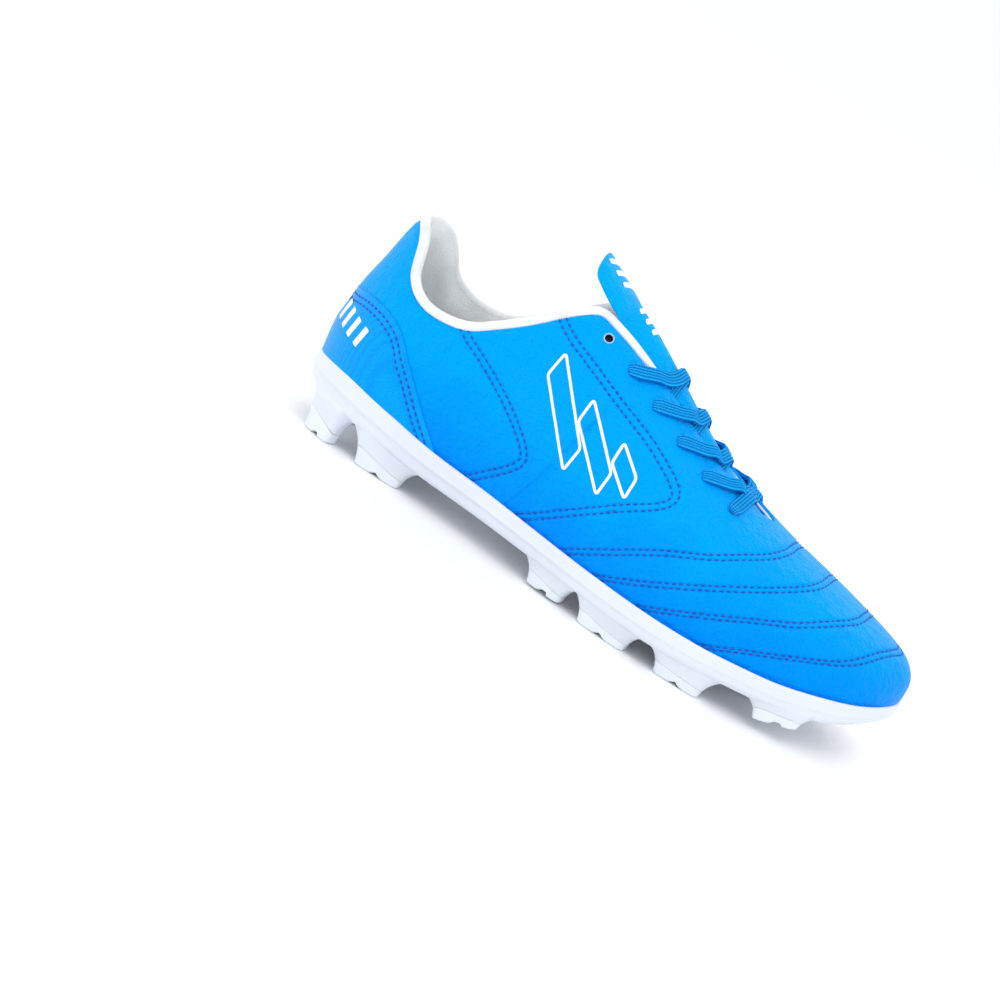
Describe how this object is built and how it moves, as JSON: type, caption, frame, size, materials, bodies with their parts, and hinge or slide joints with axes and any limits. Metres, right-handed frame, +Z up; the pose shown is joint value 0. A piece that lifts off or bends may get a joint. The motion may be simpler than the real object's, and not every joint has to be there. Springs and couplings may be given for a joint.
{
  "type": "soccer cleat",
  "caption": "Right-foot soccer cleat: quilted synthetic leather upper with laced throat and standing tongue, padded collar and moulded outsole with bladed studs.",
  "frame": {"origin": "below the middle of the shoe, on the ground plane that the stud tips stand on", "axes": "+X from heel to toe, +Y towards the medial side, +Z up"},
  "size_m": [0.2892, 0.098, 0.1271],
  "materials": {
    "outsole": "satin white moulded sole",
    "stud_tip": "satin white second moulding",
    "rivet": "dark metal",
    "upper": "fine-grained blue synthetic leather",
    "heel_panel": "blue synthetic leather with a fine embossed texture",
    "lining": "white padded satin lining",
    "binding": "white binding tape",
    "foam": "open-cell foam",
    "board": "fibre board",
    "sockliner": "light grey sockliner",
    "tongue": "blue synthetic leather over foam",
    "eyelet": "light ring",
    "lace": "flat blue braid",
    "aglet": "blue sleeve"
  },
  "bodies": {
    "shoe": {"aglet_first": "aglet", "aglet_second": "aglet", "collar_binding": "binding", "collar_foam_lateral": "foam", "collar_foam_medial": "foam", "collar_lining": "lining", "eyelets_lateral": "eyelet", "eyelets_medial": "eyelet", "eyestay_backing_lateral": "board", "eyestay_backing_medial": "board", "heel_counter": "board", "heel_panel": "heel_panel", "insole_board": "board", "lace": "lace", "outsole_plate": "outsole", "rear_quarter_lateral": "upper", "rear_quarter_medial": "upper", "side_panel_lateral": "upper", "side_panel_medial": "upper", "sockliner": "sockliner", "stud_tip_forefoot_centre_1": "stud_tip", "stud_tip_forefoot_centre_2": "stud_tip", "stud_tip_forefoot_lateral_1": "stud_tip", "stud_tip_forefoot_lateral_2": "stud_tip", "stud_tip_forefoot_lateral_3": "stud_tip", "stud_tip_forefoot_lateral_4": "stud_tip", "stud_tip_forefoot_medial_1": "stud_tip", "stud_tip_forefoot_medial_2": "stud_tip", "stud_tip_forefoot_medial_3": "stud_tip", "stud_tip_heel_lateral_1": "stud_tip", "stud_tip_heel_lateral_2": "stud_tip", "stud_tip_heel_medial_1": "stud_tip", "stud_tip_heel_medial_2": "stud_tip", "toe_puff": "board", "toe_rivet": "rivet", "tongue_body": "tongue", "tongue_lining": "tongue", "vamp": "upper", "vamp_lining": "lining"},
    "tongue_top": {"tongue_top": "tongue"}
  },
  "joints": [
    {"name": "tongue_flap", "type": "hinge", "parent": "shoe", "child": "tongue_top", "pos_m": [-0.03625, 0, 0.1178], "axis": [0, 1, 0], "range_deg": [0, 50]}
  ]
}
